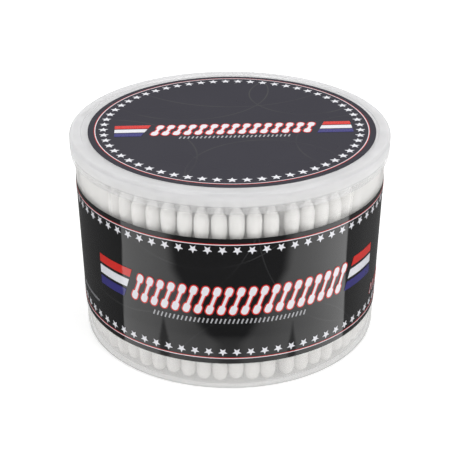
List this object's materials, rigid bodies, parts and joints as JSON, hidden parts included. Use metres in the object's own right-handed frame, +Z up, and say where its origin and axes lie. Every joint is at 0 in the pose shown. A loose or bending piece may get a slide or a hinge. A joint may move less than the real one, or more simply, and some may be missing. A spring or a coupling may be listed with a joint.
{
  "type": "cotton swab tub",
  "caption": "Round clear tub of upright cotton swabs with a lift-off lid, a printed black wrap label and a round printed lid label.",
  "frame": {"origin": "centre of the foot ring, on the surface the tub stands on", "axes": "+Z up along the tub's axis, -Y towards the viewer at the middle of the wrap label's picture side, +X to the right"},
  "size_m": [0.1244, 0.1244, 0.0827],
  "materials": {
    "tub_plastic": "clear, slightly milky polypropylene",
    "lid_plastic": "milky translucent polypropylene",
    "wrap_film": "high gloss printed film",
    "lid_paper": "satin printed film",
    "white_ink": "gloss print",
    "red_ink": "gloss print",
    "blue_ink": "gloss print",
    "grey_ink": "gloss print",
    "stick_paper": "matt rolled paper",
    "cotton": "soft wound cotton"
  },
  "bodies": {
    "tub": {"tub": "tub_plastic", "wrap_label": "wrap_film", "wrap_white_print": "white_ink", "wrap_red_print": "red_ink", "wrap_blue_print": "blue_ink", "wrap_grey_print": "grey_ink", "ring_1_sticks": "stick_paper", "ring_2_sticks": "stick_paper", "ring_3_sticks": "stick_paper", "ring_4_sticks": "stick_paper", "ring_5_sticks": "stick_paper", "ring_6_sticks": "stick_paper", "ring_7_sticks": "stick_paper", "ring_8_sticks": "stick_paper", "ring_9_sticks": "stick_paper", "ring_10_sticks": "stick_paper", "ring_1_upper_tips": "cotton", "ring_2_upper_tips": "cotton", "ring_3_upper_tips": "cotton", "ring_4_upper_tips": "cotton", "ring_5_upper_tips": "cotton", "ring_6_upper_tips": "cotton", "ring_7_upper_tips": "cotton", "ring_8_upper_tips": "cotton", "ring_9_upper_tips": "cotton", "ring_10_upper_tips": "cotton", "ring_1_lower_tips": "cotton", "ring_2_lower_tips": "cotton", "ring_3_lower_tips": "cotton", "ring_4_lower_tips": "cotton", "ring_5_lower_tips": "cotton", "ring_6_lower_tips": "cotton", "ring_7_lower_tips": "cotton", "ring_8_lower_tips": "cotton", "ring_9_lower_tips": "cotton", "ring_10_lower_tips": "cotton"},
    "lid": {"lid": "lid_plastic", "lid_label": "lid_paper", "lid_white_print": "white_ink", "lid_red_print": "red_ink", "lid_blue_print": "blue_ink", "lid_grey_print": "grey_ink"}
  },
  "joints": [
    {"name": "lid_lift", "type": "slide", "parent": "tub", "child": "lid", "axis": [0, 0, 1], "range_m": [0, 0.06]}
  ]
}
